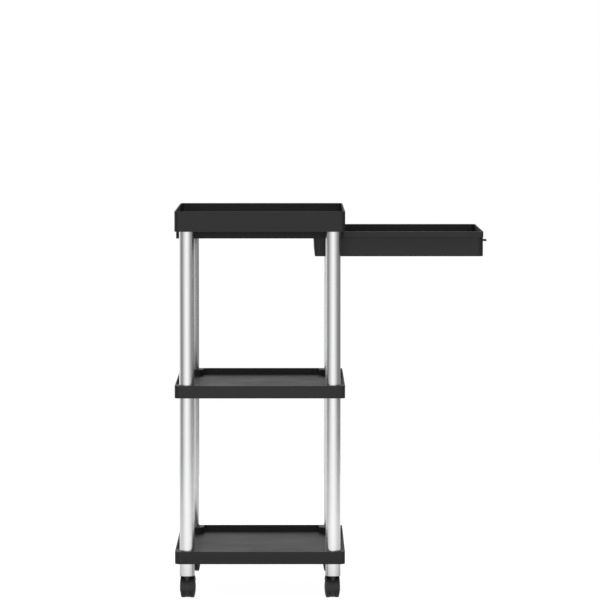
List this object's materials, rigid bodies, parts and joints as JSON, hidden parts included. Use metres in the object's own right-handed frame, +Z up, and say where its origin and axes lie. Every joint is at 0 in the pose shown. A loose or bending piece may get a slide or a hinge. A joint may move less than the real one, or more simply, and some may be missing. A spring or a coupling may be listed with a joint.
{
  "type": "utility trolley",
  "caption": "Rolling utility trolley with a deep top tray, shelves on round silver posts, twin-wheel casters and a drawer that slides out under the top tray",
  "frame": {"origin": "on the floor, under the middle of the whole bounding box with the drawer open and the casters trailing towards +Y", "axes": "+X is the front, where the drawer slides out; +Y is the trolley's right as seen from the front, where the far end of the trays lies; +Z is up"},
  "size_m": [0.7354, 0.5536, 0.904],
  "materials": {
    "black_plastic": "fine matt grain",
    "silver_post": "satin silver",
    "steel": "zinc plated",
    "caster_nylon": "matt nylon"
  },
  "bodies": {
    "frame": {"top_tray": "black_plastic", "middle_shelf": "black_plastic", "bottom_shelf": "black_plastic", "upper_post_front_left": "silver_post", "upper_post_front_right": "silver_post", "upper_post_rear_left": "silver_post", "upper_post_rear_right": "silver_post", "lower_post_front_left": "silver_post", "lower_post_front_right": "silver_post", "lower_post_rear_left": "silver_post", "lower_post_rear_right": "silver_post", "leg_front_left": "silver_post", "leg_front_right": "silver_post", "leg_rear_left": "silver_post", "leg_rear_right": "silver_post", "caster_socket_front_left": "caster_nylon", "caster_socket_front_right": "caster_nylon", "caster_socket_rear_left": "caster_nylon", "caster_socket_rear_right": "caster_nylon", "caster_stem_front_left": "steel", "caster_stem_front_right": "steel", "caster_stem_rear_left": "steel", "caster_stem_rear_right": "steel", "drawer_rail_left": "black_plastic", "drawer_rail_right": "black_plastic", "drawer_rear_panel": "black_plastic", "rail_screws": "steel"},
    "drawer": {"drawer_bin": "black_plastic", "drawer_pull": "black_plastic", "drawer_pull_screws": "steel"},
    "caster_front_left": {"caster_hood_front_left": "caster_nylon", "caster_axle_front_left": "steel"},
    "front_wheel_of_front_left": {"front_wheel_front_left": "caster_nylon"},
    "rear_wheel_of_front_left": {"rear_wheel_front_left": "caster_nylon"},
    "caster_front_right": {"caster_hood_front_right": "caster_nylon", "caster_axle_front_right": "steel"},
    "front_wheel_of_front_right": {"front_wheel_front_right": "caster_nylon"},
    "rear_wheel_of_front_right": {"rear_wheel_front_right": "caster_nylon"},
    "caster_rear_left": {"caster_hood_rear_left": "caster_nylon", "caster_axle_rear_left": "steel"},
    "front_wheel_of_rear_left": {"front_wheel_rear_left": "caster_nylon"},
    "rear_wheel_of_rear_left": {"rear_wheel_rear_left": "caster_nylon"},
    "caster_rear_right": {"caster_hood_rear_right": "caster_nylon", "caster_axle_rear_right": "steel"},
    "front_wheel_of_rear_right": {"front_wheel_rear_right": "caster_nylon"},
    "rear_wheel_of_rear_right": {"rear_wheel_rear_right": "caster_nylon"}
  },
  "joints": [
    {"name": "drawer_slide", "type": "slide", "parent": "frame", "child": "drawer", "axis": [1, 0, 0], "range_m": [-0.317, 0]},
    {"name": "swivel_front_left", "type": "hinge", "parent": "frame", "child": "caster_front_left", "pos_m": [0.00025, -0.24877, 0.049], "axis": [0, 0, 1], "continuous": true},
    {"name": "spin_front_wheel_front_left", "type": "hinge", "parent": "caster_front_left", "child": "front_wheel_of_front_left", "pos_m": [-0.00114, -0.23283, 0.0245], "axis": [0.9962, 0.0872, 0], "continuous": true},
    {"name": "spin_rear_wheel_front_left", "type": "hinge", "parent": "caster_front_left", "child": "rear_wheel_of_front_left", "pos_m": [-0.00114, -0.23283, 0.0245], "axis": [0.9962, 0.0872, 0], "continuous": true},
    {"name": "swivel_front_right", "type": "hinge", "parent": "frame", "child": "caster_front_right", "pos_m": [0.00025, 0.23523, 0.049], "axis": [0, 0, 1], "continuous": true},
    {"name": "spin_front_wheel_front_right", "type": "hinge", "parent": "caster_front_right", "child": "front_wheel_of_front_right", "pos_m": [-0.00114, 0.25117, 0.0245], "axis": [0.9962, 0.0872, 0], "continuous": true},
    {"name": "spin_rear_wheel_front_right", "type": "hinge", "parent": "caster_front_right", "child": "rear_wheel_of_front_right", "pos_m": [-0.00114, 0.25117, 0.0245], "axis": [0.9962, 0.0872, 0], "continuous": true},
    {"name": "swivel_rear_left", "type": "hinge", "parent": "frame", "child": "caster_rear_left", "pos_m": [-0.33975, -0.24877, 0.049], "axis": [0, 0, 1], "continuous": true},
    {"name": "spin_front_wheel_rear_left", "type": "hinge", "parent": "caster_rear_left", "child": "front_wheel_of_rear_left", "pos_m": [-0.33836, -0.23283, 0.0245], "axis": [0.9962, -0.0872, 0], "continuous": true},
    {"name": "spin_rear_wheel_rear_left", "type": "hinge", "parent": "caster_rear_left", "child": "rear_wheel_of_rear_left", "pos_m": [-0.33836, -0.23283, 0.0245], "axis": [0.9962, -0.0872, 0], "continuous": true},
    {"name": "swivel_rear_right", "type": "hinge", "parent": "frame", "child": "caster_rear_right", "pos_m": [-0.33975, 0.23523, 0.049], "axis": [0, 0, 1], "continuous": true},
    {"name": "spin_front_wheel_rear_right", "type": "hinge", "parent": "caster_rear_right", "child": "front_wheel_of_rear_right", "pos_m": [-0.33836, 0.25117, 0.0245], "axis": [0.9962, -0.0872, 0], "continuous": true},
    {"name": "spin_rear_wheel_rear_right", "type": "hinge", "parent": "caster_rear_right", "child": "rear_wheel_of_rear_right", "pos_m": [-0.33836, 0.25117, 0.0245], "axis": [0.9962, -0.0872, 0], "continuous": true}
  ]
}
